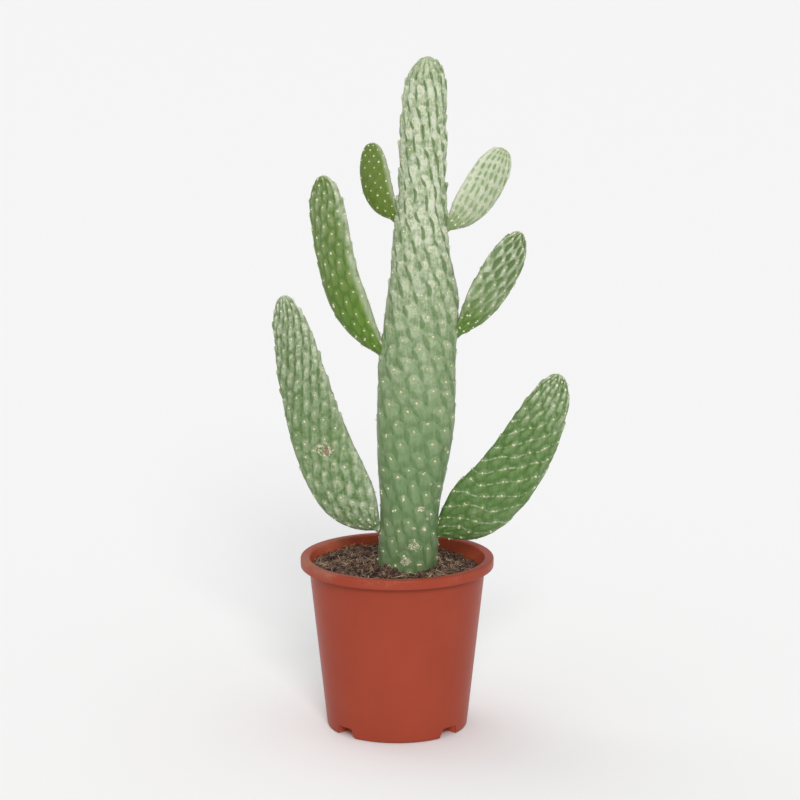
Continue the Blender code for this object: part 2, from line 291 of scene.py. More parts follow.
growths = {name: pad_growth(pad) for name, pad in PADS.items()}
growths["trunk"] = trunk_growth()
for name, growth in growths.items():
    tip = growth[0][-1]
    node_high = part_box(name)[1]
    print(f"{name}: tip at {tip[2] / MM:.1f} mm, the frame's top is {node_high.z / MM:.1f} mm")

# %% [markdown]
# ## Skin
# The skin carries tubercles, humps in slanting lines with a woolly areole at the upper end of each.
# Next to each other, the lines stand half a hump apart, like bricks, and close in at the tip. The
# net is embossed by hand on a flat sheet: a grid loses every other cross edge, the ends of the
# bricks are pulled in, and each cell is inset and raised twice. Each time its upper end is tipped
# up, on some cells more than on others, so no two humps are quite alike. The sheet is cut to a
# whole number of lines, rolled round the centre line and closed. The humps stand out more towards
# the tip and more in some patches than in others. Where the number of lines is odd, each turn
# climbs by half a hump, and the cells still meet at the seam.

# %% Emboss a flat sheet
Skin = namedtuple("Skin", "lines rows crowd twist start relief_base relief_tip levels")
SKINS = {
    "trunk": Skin(13, 27, 1.08, -340, 0.0, 0.12, 2.8, 2),
    "pad_lower_left": Skin(13, 17, 1.12, -250, 0.1, 0.1, 2.6, 2),
    "pad_middle_left": Skin(12, 11, 1.15, -112, 0.3, 0.3, 2.2, 2),
    "pad_upper_left": Skin(12, 7, 1.2, -50, 0.0, 0.25, 0.5, 3),
    "pad_upper_right": Skin(14, 6, 1.2, 60, 0.2, 0.3, 0.35, 3),
    "pad_middle_right": Skin(12, 8, 1.15, -80, 0.4, 0.6, 1.3, 3),
    "pad_lower_right": Skin(14, 12, 1.25, -120, 0.25, 0.45, 2.0, 2),
}
CELL_ASPECT = 1.5
END_PULL = 0.24
INSETS = ((0.06, (0.0, 0.03, 0.28), 0.34, 0.20), (0.18, (0.0, 0.20, 0.26), 0.34, 0.25))
UNEVEN = 1.1
NET_PATCH = 0.018
NET_DRIFT = 0.34
NET_END_ROWS = 1.5
RELIEF_POWER = 1.2
RELIEF_VARIES = 1.1
RELIEF_PATCH = 0.016
REST_LEVEL = 0.75
NARROW_HALF = 9.0 * MM
TIP_REST = 14.0 * MM
WANDER = (0.045, 0.8)
WRINKLE = (0.0045, 0.22)
WELD = 0.02 * MM


def climb(skin):
    """How far the net climbs from one line to the next, in rows."""
    return 0.5 / skin.lines if skin.lines % 2 else 0.0


def tip_faces(piece, slope, taper):
    """Tip each selected face up at its far end, and narrow it towards its near end."""
    points = places(piece)
    for face in piece.data.polygons:
        if face.select:
            corners = list(face.vertices)
            middle = points[corners].mean(axis=0)
            ahead = points[corners, 1] - middle[1]
            uneven = UNEVEN * noise.noise(Vector((middle[0] * 3.1, middle[1] * 2.7, 0.5)))
            points[corners, 2] += slope * ahead * (1.0 + uneven) + 0.2 * uneven
            points[corners, 0] += (points[corners, 0] - middle[0]) * taper * ahead
    set_places(piece, points)


def embossed_sheet(name, skin):
    """A flat sheet of raised cells: one unit a line, and CELL_ASPECT units a row."""
    sheet = new_piece(name, bpy.ops.mesh.primitive_grid_add, x_subdivisions=skin.lines + 2,
                      y_subdivisions=2 * (skin.rows + 2), size=1,
                      location=(skin.lines / 2, skin.rows / 2, 0))
    sheet.scale = (skin.lines + 2, skin.rows + 2, 1)
    apply_place(sheet)
    points = places(sheet)

    def is_joint(edge):
        start, end = (points[corner] for corner in edge.vertices)
        across = abs(start[1] - end[1]) < 1e-4 and -0.9 < start[1] < skin.rows + 0.9
        line = math.floor((start[0] + end[0]) / 2)
        return across and (line + round(2 * start[1])) % 2 == 1

    edit("EDGE", "DESELECT")
    leave_edit()
    pick(sheet, sheet.data.edges, is_joint)
    bpy.ops.object.mode_set(mode="EDIT")
    bpy.ops.mesh.dissolve_edges(use_verts=False, use_face_split=False)
    leave_edit()
    points = places(sheet)
    parity = np.round(points[:, 0] + 2 * points[:, 1]) % 2
    points[:, 0] += np.where(parity == 0, END_PULL, -END_PULL)
    points[:, 1] *= CELL_ASPECT
    set_places(sheet, points)
    edit()
    for thickness, rise, tip, taper in INSETS:
        bpy.ops.mesh.inset(thickness=thickness, depth=0.0, use_individual=True)
        bpy.ops.transform.translate(value=rise)
        leave_edit()
        tip_faces(sheet, tip, taper)
        bpy.ops.object.mode_set(mode="EDIT")
    leave_edit()
    apply_modifier(sheet, "SUBSURF", levels=skin.levels, render_levels=skin.levels)
    slope = climb(skin) * CELL_ASPECT
    cuts = (((0, 0, 0), (1, 0, 0), "clear_inner"),
            ((skin.lines, 0, 0), (1, 0, 0), "clear_outer"),
            ((0, 0, 0), (slope, 1, 0), "clear_inner"),
            ((0, skin.rows * CELL_ASPECT, 0), (slope, 1, 0), "clear_outer"))
    for place, facing, cleared in cuts:
        edit()
        bpy.ops.mesh.bisect(plane_co=place, plane_no=facing, **{cleared: True})
        leave_edit()
    return sheet


# %% Roll a sheet round its centre line
def even_turns(half_width, half_thick):
    """Angles round an oval section at even distances along its edge, as a lookup table."""
    angles = np.linspace(0.0, math.tau, 721)
    speed = np.hypot(half_width * np.sin(angles), half_thick * np.cos(angles))
    walked = np.concatenate(([0.0], np.cumsum((speed[1:] + speed[:-1]) / 2)))
    return walked / walked[-1], angles


def unit(vectors, fallback):
    length = np.linalg.norm(vectors, axis=1, keepdims=True)
    return np.where(length > 1e-9, vectors / np.maximum(length, 1e-12), fallback)


class Roll:
    """Maps net places (line, row) to points on the skin of one trunk or pad."""

    def __init__(self, growth, skin):
        self.centre, self.broad, self.flat, self.half, self.thick = growth
        self.skin = skin
        step = np.diff(self.centre, axis=0)
        meridian = np.hypot(np.linalg.norm(step, axis=1), np.diff(self.half))
        self.walk = np.concatenate(([0.0], np.cumsum(meridian)))
        widest = int(np.argmax(self.half))
        self.turn_table = even_turns(self.half[widest], self.thick[widest])

    def read(self, table, walked):
        if table.ndim == 1:
            return np.interp(walked, self.walk, table)
        return np.stack([np.interp(walked, self.walk, table[:, k]) for k in range(3)], axis=1)

    def walked(self, row):
        share = np.clip(row / self.skin.rows, 0.0, 1.0)
        return self.walk[-1] * (1.0 - (1.0 - share) ** self.skin.crowd)

    def angle(self, line, row):
        turned = (line + self.skin.start) / self.skin.lines
        turned = turned + self.skin.twist / 360.0 * self.walked(row) / self.walk[-1]
        return np.interp(turned % 1.0, *self.turn_table)

    def bare(self, angle, walked):
        """The smooth surface, with no tubercles."""
        across = self.read(self.broad, walked) * (self.read(self.half, walked)
                                                  * np.cos(angle))[:, None]
        through = self.read(self.flat, walked) * (self.read(self.thick, walked)
                                                  * np.sin(angle))[:, None]
        return self.read(self.centre, walked) + across + through

    def outward(self, angle, walked):
        small = 1.2e-3
        along = (self.bare(angle, np.minimum(walked + small, self.walk[-1]))
                 - self.bare(angle, np.maximum(walked - small, 0.0)))
        around = (self.read(self.flat, walked) * (self.read(self.thick, walked)
                                                  * np.cos(angle))[:, None]
                  - self.read(self.broad, walked) * (self.read(self.half, walked)
                                                     * np.sin(angle))[:, None])
        ahead = unit(np.gradient(self.centre, axis=0), 0.0)
        ahead = self.read(ahead, walked)
        normal = unit(np.cross(around, along), ahead)
        away = self.bare(angle, walked) - self.read(self.centre, walked) + ahead * 1e-6
        side = np.sign(np.sum(normal * away, axis=1, keepdims=True))
        normal = normal * np.where(side == 0.0, 1.0, side)
        tip = np.clip((walked - self.walk[-1] + 1.5e-3) / 1.5e-3, 0.0, 1.0)[:, None]
        return unit(normal * (1.0 - tip) + ahead * tip, ahead)


def patchy(points, size, seed):
    """Smooth random values from -1 to 1 at points, in patches of about the given size."""
    return np.array([noise.noise(Vector(p) / size + Vector((seed, 2 * seed, 3 * seed)))
                     for p in points])


def grow_skin(name, seed):
    """Roll the embossed sheet of one trunk or pad and close it into a skin."""
    skin = SKINS[name]
    roll = Roll(growths[name], skin)
    piece = embossed_sheet(f"{name}_skin", skin)
    net = places(piece)
    line, row, rise = net[:, 0], net[:, 1] / CELL_ASPECT, net[:, 2]
    grown = row + climb(skin) * line
    top = float(rise.max())
    first = roll.bare(roll.angle(line, grown), roll.walked(grown))
    drift = np.stack([patchy(first, NET_PATCH, seed + shift) for shift in (11.0, 17.0)], axis=1)
    inner = np.clip(np.minimum(grown, skin.rows - grown) / NET_END_ROWS, 0.0, 1.0)[:, None]
    drift = drift * inner * NET_DRIFT
    walked = roll.walked(grown + drift[:, 1])
    angle = roll.angle(line + drift[:, 0], grown + drift[:, 1])
    bare = roll.bare(angle, walked)
    normal = roll.outward(angle, walked)
    share = walked / roll.walk[-1]
    height = skin.relief_base + (skin.relief_tip - skin.relief_base) * share ** RELIEF_POWER
    height = height * (1.0 + RELIEF_VARIES * patchy(bare, RELIEF_PATCH, seed))
    narrow = np.clip(roll.read(roll.half, walked) / NARROW_HALF, 0.0, 1.0)
    tip_rest = np.clip((roll.walk[-1] - walked) / TIP_REST, 0.0, 1.0)
    narrow = narrow * tip_rest * (2.0 - tip_rest)
    wander = patchy(bare, WANDER[0], seed + 5.0) * WANDER[1] * MM * narrow
    wrinkle = patchy(bare, WRINKLE[0], seed + 9.0) * WRINKLE[1] * MM * narrow
    lift = (rise - REST_LEVEL * top) * height * narrow * MM + wander + wrinkle
    set_places(piece, bare + normal * lift[:, None])
    mesh = piece.data
    while mesh.uv_layers:
        mesh.uv_layers.remove(mesh.uv_layers[0])
    layer = mesh.uv_layers.new(name="net")
    corner = np.empty(len(mesh.loops), dtype=np.int32)
    mesh.loops.foreach_get("vertex_index", corner)
    layer.data.foreach_set("uv", np.stack((line, row), axis=1)[corner].ravel())
    for label, values in (("crest", rise / top), ("along", share), ("rim", np.cos(angle))):
        attribute = mesh.attributes.new(label, "FLOAT", "POINT")
        attribute.data.foreach_set("value", values.astype(np.float32))
    lookup = KDTree(len(net))
    for index, place in enumerate(zip(line, row)):
        lookup.insert((*place, 0.0), index)
    lookup.balance()
    rolled = places(piece).copy()
    hold(piece)
    edit("VERT")
    bpy.ops.mesh.remove_doubles(threshold=WELD)
    bpy.ops.mesh.select_all(action="DESELECT")
    bpy.ops.mesh.select_non_manifold()
    bpy.ops.mesh.edge_face_add()
    bpy.ops.mesh.select_all(action="SELECT")
    bpy.ops.mesh.normals_make_consistent(inside=False)
    leave_edit()
    mesh.shade_smooth()
    print(f"{piece.name}: {len(mesh.polygons)} faces, relief up to {height.max() / MM:.1f} mm")
    return piece, roll, (lookup, rolled, normal, walked)


# %% Grow the seven skins
skins = {}
nets = {}
for order, name in enumerate(SKINS):
    piece, roll, net = grow_skin(name, 3.0 + 1.7 * order)
    skins[name] = piece
    nets[name] = (roll, net)

# %% [markdown]
# ## Areoles
# Every tubercle carries an areole: a cushion of short cream wool with a few fine bristles. It sits
# just above the middle of the hump. One tuft is modelled from a low ball and five thin cones, and
# is then set on every knot of the net. There are over a thousand of them, so a tuft has only a few
# dozen faces, and all the tufts of one pad are joined into one piece.

# %% Model one tuft
TUFT_BRISTLES = 5


def model_tuft():
    """A flattened ball of wool, one unit in radius, with bristles that lean outwards."""
    wool = new_piece("tuft", bpy.ops.mesh.primitive_ico_sphere_add, subdivisions=1, radius=1.0)
    edit("VERT")
    bpy.ops.transform.resize(value=(1.0, 1.0, 0.62))
    leave_edit()
    parts = [wool]
    for number in range(TUFT_BRISTLES):
        bearing = math.tau * number / TUFT_BRISTLES
        lean = math.radians(24 + 13 * (number % 3))
        length = 1.5 + 0.35 * (number % 2)
        bristle = new_piece("bristle", bpy.ops.mesh.primitive_cone_add, vertices=3, radius1=0.13,
                            radius2=0.0, depth=length, location=(0, 0, 0))
        edit("VERT")
        bpy.ops.transform.translate(value=(0.0, 0.0, 0.3 + length / 2))
        leave_edit()
        bristle.rotation_euler = (0.0, lean, bearing)
        apply_place(bristle)
        parts.append(bristle)
    join_all(parts)
    wool.data.shade_smooth()
    return wool


tuft = model_tuft()
tuft_points = places(tuft)
tuft_faces = [tuple(face.vertices) for face in tuft.data.polygons]
bpy.data.objects.remove(tuft)
print("one tuft has", len(tuft_faces), "faces")

# %% Set the tufts on the net
AREOLE_LIFT = 0.26
CLUSTER_SHARE = 0.35
CLUSTER_CHANCE = 0.4
TUFT_SINK = 0.1
TIP_SHRINK = 0.02
AREOLE_SIZES = {"trunk": (1.1, 0.62), "pad_lower_left": (0.88, 0.72),
                "pad_middle_left": (0.9, 0.85), "pad_upper_left": (0.85, 0.78),
                "pad_upper_right": (0.85, 0.8), "pad_middle_right": (0.9, 0.85),
                "pad_lower_right": (0.92, 0.85)}


def net_knots(skin):
    """The middle of every cell. Odd lines stand half a row lower than even ones."""
    knots = []
    for line in range(skin.lines):
        for row in range(-1, skin.rows + 1):
            middle = row + 0.5 - 0.5 * (line % 2)
            grown = middle + AREOLE_LIFT + climb(skin) * line
            if 0.05 < grown < skin.rows - 0.12:
                knots.append((line + 0.5, middle))
    return knots


def set_tufts(name, seed):
    skin = SKINS[name]
    roll, (lookup, points, normals, walked) = nets[name]
    draw = random.Random(seed)
    coords = []
    faces = []
    base_size, tip_size = AREOLE_SIZES[name]
    for line, row in net_knots(skin):
        index = lookup.find((line, row + AREOLE_LIFT, 0.0))[1]
        share = walked[index] / roll.walk[-1]
        rest = roll.walk[-1] - walked[index]
        size = (base_size + (tip_size - base_size) * share) * draw.uniform(0.8, 1.25) * MM
        size = size * min(1.0, 0.45 + rest / TIP_SHRINK)
        spin = Matrix.Rotation(draw.uniform(0.0, math.tau), 3, "Z")
        turned = Vector(normals[index]).to_track_quat("Z", "Y").to_matrix() @ spin
        stretch = draw.uniform(0.75, 1.5)
        local = tuft_points * (size, size * stretch, size)
        spots = [(0.0, 0.0, 1.0)]
        if share < CLUSTER_SHARE and draw.random() < CLUSTER_CHANCE:
            spots.append((draw.uniform(-1.6, 1.6), draw.choice((-1.7, 1.7)), draw.uniform(0.5, 1)))
        for across, ahead, scale in spots:
            shifted = (local + (across * size, ahead * size, 0.0)) * scale
            placed = shifted @ np.array(turned).T + points[index] - normals[index] * size * TUFT_SINK
            first = len(coords) * len(tuft_points)
            coords.append(placed)
            faces.extend([tuple(first + corner for corner in face) for face in tuft_faces])
    piece = joined_copies(f"{name}_areoles", np.concatenate(coords), faces)
    print(f"{piece.name}: {len(coords)} tufts")
    return piece


areoles = {name: set_tufts(name, 40 + order) for order, name in enumerate(SKINS)}

# %% [markdown]
# ## Pot
# The pot is a thin moulded cup with a hollow rolled lip. A ring of points is drawn up and in, as
# on a wheel: each step extrudes the edge and resizes it. The four drain pockets in the foot are
# tapered blocks with rounded edges. Larger ones are added inside first, and leave a roof over the
# pocket, and then the room of the pocket and its drain slot are cut away.

# %% Turn the pot
WALL = 1.5 * MM
FOOT_RADIUS = 62.0 * MM
FOOT_ROUND = 1.2 * MM
LIP_HEIGHT = 8.4 * MM
LIP_OVERHANG = 7.4 * MM
LIP_ROUND = 1.7 * MM
POT_STEPS = 160
rim_radius = (pot_high.x - pot_low.x) / 2
pot_top = pot_high.z


def wall_radius(height):
    """Outer radius of the tapered wall at a height."""
    lip_foot = pot_top - LIP_HEIGHT
    return FOOT_RADIUS + (rim_radius - LIP_OVERHANG - FOOT_RADIUS) * height / lip_foot


def arc(centre_radius, centre_height, radius, start, end, steps):
    angles = np.radians(np.linspace(start, end, steps + 1))
    return [(centre_radius + radius * math.cos(a), centre_height + radius * math.sin(a))
            for a in angles]


def pot_section():
    """Radius and height of each ring, from the middle of the base, up the wall, to the inside."""
    lip_foot = pot_top - LIP_HEIGHT
    lip_roof = pot_top - WALL
    inner_lip = wall_radius(lip_roof) - WALL
    rings = [(FOOT_RADIUS * share, 0.0) for share in (0.04, 0.35, 0.7, 0.9)]
    rings += arc(FOOT_RADIUS - FOOT_ROUND, FOOT_ROUND, FOOT_ROUND, -90, 0, 4)
    rings += [(wall_radius(lip_foot * share), lip_foot * share)
              for share in (0.05, 0.1, 0.2, 0.35, 0.5, 0.65, 0.8, 0.93)]
    rings += arc(wall_radius(lip_foot) + 0.8 * MM, lip_foot + 0.2 * MM, 0.8 * MM, 180, 130, 2)
    rings += [(wall_radius(lip_roof) + 0.2 * MM, lip_roof)]
    rings += [(rim_radius - 2.1 * WALL, lip_roof), (rim_radius - WALL, lip_roof - 1.2 * MM)]
    rings += [(rim_radius - WALL * 0.9, lip_foot + 0.3 * MM)]
    rings += arc(rim_radius - 0.5 * WALL, lip_foot + 0.4 * WALL, 0.42 * WALL, -150, -10, 4)
    rings += [(rim_radius - 0.02 * MM, lip_foot + 2.5 * MM)]
    rings += arc(rim_radius - LIP_ROUND, pot_top - LIP_ROUND, LIP_ROUND, 0, 90, 6)
    rings += [(rim_radius - 4.0 * MM, pot_top)]
    rings += arc(inner_lip + LIP_ROUND, pot_top - LIP_ROUND, LIP_ROUND, 90, 180, 6)
    rings += [(wall_radius(pot_top * share) - WALL, pot_top * share)
              for share in (0.93, 0.8, 0.5, 0.2, 0.08)]
    rings += [(wall_radius(WALL) - WALL, WALL), (FOOT_RADIUS * 0.5, WALL)]
    rings += [(FOOT_RADIUS * 0.04, WALL)]
    return rings


def turn_up(name, rings, steps):
    """Draw a closed turned shape up from a small disc, one ring at a time."""
    radius, height = rings[0]
    piece = new_piece(name, bpy.ops.mesh.primitive_circle_add, vertices=steps, radius=radius,
                      fill_type="TRIFAN", location=(0, 0, height))
    apply_place(piece)
    edit("EDGE", "DESELECT")
    bpy.ops.mesh.select_non_manifold()
    for (radius, height), (wide, high) in zip(rings, rings[1:]):
        bpy.ops.mesh.extrude_edges_move(TRANSFORM_OT_translate={"value": (0, 0, high - height)})
        bpy.ops.transform.resize(value=(wide / radius, wide / radius, 1.0),
                                 center_override=(0, 0, high))
    bpy.ops.mesh.extrude_edges_move(TRANSFORM_OT_translate={"value": (0, 0, 0)})
    bpy.ops.mesh.merge(type="CENTER")
    leave_edit()
    outward_normals(piece)
    return piece


pot = turn_up("nursery_pot", pot_section(), POT_STEPS)
print("pot rim, mm:", round(pot.dimensions.x / MM, 1), "height:", round(pot.dimensions.z / MM, 1))

# %% Cut the drain pockets
POCKET_BEARINGS = (47.0, 133.0, 227.0, 313.0)
POCKET_HEIGHT = 8.6 * MM
POCKET_START = 50.0 * MM
POCKET_HALF_BASE = 11.4 * MM
POCKET_HALF_TOP = 8.2 * MM
POCKET_ROUND = 1.6 * MM
LINER_ROUND = 2.4 * MM
SLOT_LENGTH = 6 * MM
SLOT_HALF = 4.5 * MM
CORE_INSET = 0.6 * MM
CORE_FLOOR = 0.3 * MM
CORE_HOLE = 4 * MM


def radial_blocks(name, start, stop, half_base, half_top, low, high, rounding):
    """Four tapered blocks that point outwards, one on each pocket's bearing, as one object."""
    blocks = []
    for bearing in POCKET_BEARINGS:
        block = new_piece(name, bpy.ops.mesh.primitive_cube_add, size=1.0)
        block.scale = (stop - start, 2 * half_base, high - low)
        block.location = ((start + stop) / 2, 0.0, (low + high) / 2)
        apply_place(block)
        pick(block, block.data.polygons, lambda face: face.normal.z > 0.5)
        bpy.ops.object.mode_set(mode="EDIT")
        bpy.ops.transform.resize(value=(1.0, half_top / half_base, 1.0))
        leave_edit()
        if rounding > 0.0:
            pick(block, block.data.edges, lambda edge: all(
                block.data.vertices[v].co.z > high - 1e-6 for v in edge.vertices)
                and abs(block.data.vertices[edge.vertices[0]].co.x
                        - block.data.vertices[edge.vertices[1]].co.x) > 1e-4)
            bpy.ops.object.mode_set(mode="EDIT")
            bpy.ops.mesh.bevel(offset=rounding, segments=4)
            leave_edit()
        block.rotation_euler = (0.0, 0.0, math.radians(bearing - 90.0))
        apply_place(block)
        blocks.append(block)
    return join_all(blocks)


def combine(piece, tool, operation):
    apply_modifier(piece, "BOOLEAN", object=tool, operation=operation, solver="EXACT")
    bpy.data.objects.remove(tool)


core_top = POCKET_HEIGHT + 4 * WALL
core = turn_up("core", [(CORE_HOLE, CORE_FLOOR), (wall_radius(0.0) - CORE_INSET, CORE_FLOOR),
                        (wall_radius(core_top) - CORE_INSET, core_top), (CORE_HOLE, core_top)],
               POT_STEPS)
liners = radial_blocks("liners", POCKET_START - WALL, FOOT_RADIUS + 4 * WALL,
                       POCKET_HALF_BASE + WALL, POCKET_HALF_TOP + WALL, -WALL,
                       POCKET_HEIGHT + WALL, LINER_ROUND)
combine(liners, core, "INTERSECT")
combine(pot, liners, "UNION")
rooms = radial_blocks("rooms", POCKET_START, FOOT_RADIUS + 6 * WALL, POCKET_HALF_BASE,
                      POCKET_HALF_TOP, -WALL, POCKET_HEIGHT, POCKET_ROUND)
combine(pot, rooms, "DIFFERENCE")
slot_start = POCKET_START + 2 * WALL
slots = radial_blocks("slots", slot_start, slot_start + SLOT_LENGTH, SLOT_HALF, SLOT_HALF,
                      POCKET_HEIGHT - 2 * WALL, POCKET_HEIGHT + 3 * WALL, 0.0)
combine(pot, slots, "DIFFERENCE")
hold(pot)
bpy.ops.object.shade_smooth_by_angle(angle=math.radians(35))
print("pot:", len(pot.data.polygons), "faces")

# %% [markdown]
# ## Soil
# The pot is filled with dark peat that has settled a little below the rim: a rough surface of
# crumbs, with pale root fibres and a few dry straws lying on it. The body of the soil is turned
# like the pot and its top is cut into a fine net of rings and pushed up and down at random. It is
# banked up round the trunk and at the back left, so it stands a few millimetres above the frame's
# own soil. Crumbs, fibres and straws are then scattered on that surface.

# %% Fill the pot with soil
SOIL_LEVEL = 139.0 * MM
SOIL_SWELL = 1.3 * MM
SOIL_FALL = 2.2 * MM
SOIL_MOUND = 7.0 * MM
SOIL_MOUND_REACH = 40.0 * MM
SOIL_BANK = 4.0 * MM
SOIL_GRAINS = ((0.011, 2.3, 0.3), (0.0042, 1.5, 4.1), (0.0017, 0.6, 7.7))
SOIL_GAP = 0.25 * MM
SOIL_STEPS = 200
SOIL_RINGS = 58
TRUNK_AT_SOIL = (8.5 * MM, 0.0)


def soil_height(x, y):
    """Height of the soil: a gentle lie, banked at the trunk and the back left, then grains."""
    swell = math.sin(62.0 * x + 1.0) * math.cos(55.0 * y - 0.6)
    fall = max(0.0, (x + y) / (2.0 * rim_radius))
    apart = math.hypot(x - TRUNK_AT_SOIL[0], y - TRUNK_AT_SOIL[1])
    mound = SOIL_MOUND * math.exp(-(apart / SOIL_MOUND_REACH) ** 2)
    bank = SOIL_BANK * min(1.0, max(0.0, (y - 1.2 * x) / rim_radius + 0.3))
    level = SOIL_LEVEL + SOIL_SWELL * swell - SOIL_FALL * fall + mound + bank
    for size, depth, layer in SOIL_GRAINS:
        level += noise.noise(Vector((x, y, layer)) / size) * depth * MM
    return level


soil_edge = wall_radius(SOIL_LEVEL) - WALL - SOIL_GAP
soil_floor = WALL + SOIL_GAP
ledge_inside = POCKET_START - 3 * WALL
ledge_height = POCKET_HEIGHT + 3 * WALL
soil_rings = [(CORE_HOLE, soil_floor), (ledge_inside, soil_floor), (ledge_inside, ledge_height),
              (wall_radius(ledge_height) - WALL - SOIL_GAP, ledge_height),
              (soil_edge, SOIL_LEVEL - 3 * MM)]
soil_rings += [(soil_edge * (1.0 - step / SOIL_RINGS), SOIL_LEVEL)
               for step in range(SOIL_RINGS)]
soil = turn_up("peat", soil_rings, SOIL_STEPS)
points = places(soil)
for point in points:
    if point[2] > SOIL_LEVEL - 0.5 * MM:
        inward = min(1.0, (soil_edge - math.hypot(point[0], point[1])) / (2.5 * MM) + 0.5)
        point[2] = soil_height(point[0], point[1]) - (1.0 - inward) * 2.0 * MM
set_places(soil, points)
soil.data.shade_smooth()
print("soil:", len(soil.data.polygons), "faces, top at", round(points[:, 2].max() / MM, 1),
      "mm where the frame's soil ends at", round(soil_high.z / MM, 1), "mm")

# %% Scatter crumbs, fibres and straws
litter_draw = random.Random(7)


def litter_place():
    """A random place on the soil, clear of the wall and of the trunk."""
    while True:
        radius = (soil_edge - 2.0 * MM) * math.sqrt(litter_draw.random())
        bearing = litter_draw.uniform(0.0, math.tau)
        x, y = radius * math.cos(bearing), radius * math.sin(bearing)
        across = (x - TRUNK_AT_SOIL[0]) / (25.0 * MM)
        through = (y - TRUNK_AT_SOIL[1]) / (23.0 * MM)
        if across ** 2 + through ** 2 > 1.0:
            return x, y


def scatter_crumbs(name, count, smallest, largest):
    """Lumps of peat and bark: small balls of twenty faces, squeezed and half sunk."""
    pattern = new_piece("crumb", bpy.ops.mesh.primitive_ico_sphere_add, subdivisions=1,
                        radius=1.0)
    ball = places(pattern)
    sides = [tuple(face.vertices) for face in pattern.data.polygons]
    bpy.data.objects.remove(pattern)
    coords, faces = [], []
    for _ in range(count):
        x, y = litter_place()
        size = smallest + (largest - smallest) * litter_draw.random() ** 3
        shape = [litter_draw.uniform(0.6, 1.4) for _ in range(3)]
        turn = np.array(Matrix.Rotation(litter_draw.uniform(0, math.tau), 3,
                                        Vector((litter_draw.gauss(0, 1), litter_draw.gauss(0, 1),
                                                litter_draw.gauss(0, 1))).normalized()))
        rough = 1.0 + 0.25 * np.array([[litter_draw.uniform(-1, 1)] for _ in ball])
        lump = (ball * rough * shape * size) @ turn.T
        lump = lump + (x, y, soil_height(x, y) + size * litter_draw.uniform(-0.1, 0.5))
        first = len(coords)
        coords.extend(lump)
        faces.extend([tuple(first + corner for corner in side) for side in sides])
    return joined_copies(name, coords, faces)


STRAND_STEPS = 5


def scatter_strands(name, count, shortest, longest, width, lift, curl):
    """Fibres: thin three-sided strands that wander over the surface."""
    coords, faces = [], []
    for _ in range(count):
        x, y = litter_place()
        heading = litter_draw.uniform(0.0, math.tau)
        rise = litter_draw.uniform(-0.05, lift)
        length = litter_draw.uniform(shortest, longest)
        thick = width * litter_draw.uniform(0.6, 1.4)
        first = len(coords)
        height = soil_height(x, y) + 0.4 * MM
        for step in range(STRAND_STEPS + 1):
            taper = thick * (1.0 - 0.5 * abs(2 * step / STRAND_STEPS - 1.0))
            side = Vector((-math.sin(heading), math.cos(heading), 0.0))
            for corner in range(3):
                turn = math.tau * corner / 3
                coords.append((x + side.x * taper * math.cos(turn),
                               y + side.y * taper * math.cos(turn),
                               height + taper * math.sin(turn)))
            if step < STRAND_STEPS:
                x += math.cos(heading) * length / STRAND_STEPS
                y += math.sin(heading) * length / STRAND_STEPS
                heading += litter_draw.uniform(-curl, curl)
                inside = math.hypot(x, y) < soil_edge - 1.0 * MM
                x, y = (x, y) if inside else (x * 0.97, y * 0.97)
                arch = rise * math.sin(math.pi * (step + 1) / STRAND_STEPS) * length
                height = max(soil_height(x, y) + 0.2 * MM, height * 0.3
                             + (soil_height(x, y) + 0.4 * MM) * 0.7 + arch)
        for step in range(STRAND_STEPS):
            for corner in range(3):
                after = (corner + 1) % 3
                low, high = first + 3 * step, first + 3 * (step + 1)
                faces.append((low + corner, low + after, high + after, high + corner))
        faces.append((first + 2, first + 1, first))
        last = first + 3 * STRAND_STEPS
        faces.append((last, last + 1, last + 2))
    return joined_copies(name, coords, faces)


litter = {
    "soil_crumbs": scatter_crumbs("soil_crumbs", 2600, 0.5 * MM, 2.6 * MM),
    "soil_fibres": scatter_strands("soil_fibres", 1100, 4 * MM, 14 * MM, 0.26 * MM, 0.35, 0.7),
    "soil_straws": scatter_strands("soil_straws", 60, 7 * MM, 18 * MM, 0.5 * MM, 0.15, 0.15),
}
for name, piece in litter.items():
    print(name, len(piece.data.polygons), "faces")

# %% [markdown]
# ## Shader sums
# Patterns are sums of masks. A small class wraps a socket, so that a sum can be written as it is
# said, and each operator adds its Math node. A second class holds one material and adds any other
# node from its type, its settings and its inputs.

# %% A socket that can be used in a sum
class Wire:
    """One output of a node, used in sums as a number is."""

    def __init__(self, finish, socket):
        self.finish = finish
        self.socket = socket

    def sum(self, operation, *values, clamp=False):
        node = self.finish.tree.nodes.new("ShaderNodeMath")
        node.operation = operation
        node.use_clamp = clamp
        for entry, value in zip(node.inputs, values):
            self.finish.feed(entry, value)
        return Wire(self.finish, node.outputs[0])

    def __add__(self, other):
        return self.sum("ADD", self, other)

    __radd__ = __add__

    def __sub__(self, other):
        return self.sum("SUBTRACT", self, other)

    def __rsub__(self, other):
        return self.sum("SUBTRACT", other, self)

    def __mul__(self, other):
        return self.sum("MULTIPLY", self, other)

    __rmul__ = __mul__

    def __truediv__(self, other):
        return self.sum("DIVIDE", self, other)

    def __rtruediv__(self, other):
        return self.sum("DIVIDE", other, self)

    def __pow__(self, other):
        return self.sum("POWER", self, other)

    def absolute(self):
        return self.sum("ABSOLUTE", self)

    def fraction(self):
        return self.sum("FRACT", self)

    def least(self, other):
        return self.sum("MINIMUM", self, other)

    def held(self):
        """The value kept between 0 and 1."""
        return self.sum("ADD", self, 0.0, clamp=True)

    def between(self, low, high):
        """0 below low, 1 above high, and a smooth step in between; low may be the larger."""
        return self.finish.add("ShaderNodeMapRange", {"interpolation_type": "SMOOTHSTEP"},
                               {"Value": self, "From Min": low, "From Max": high})


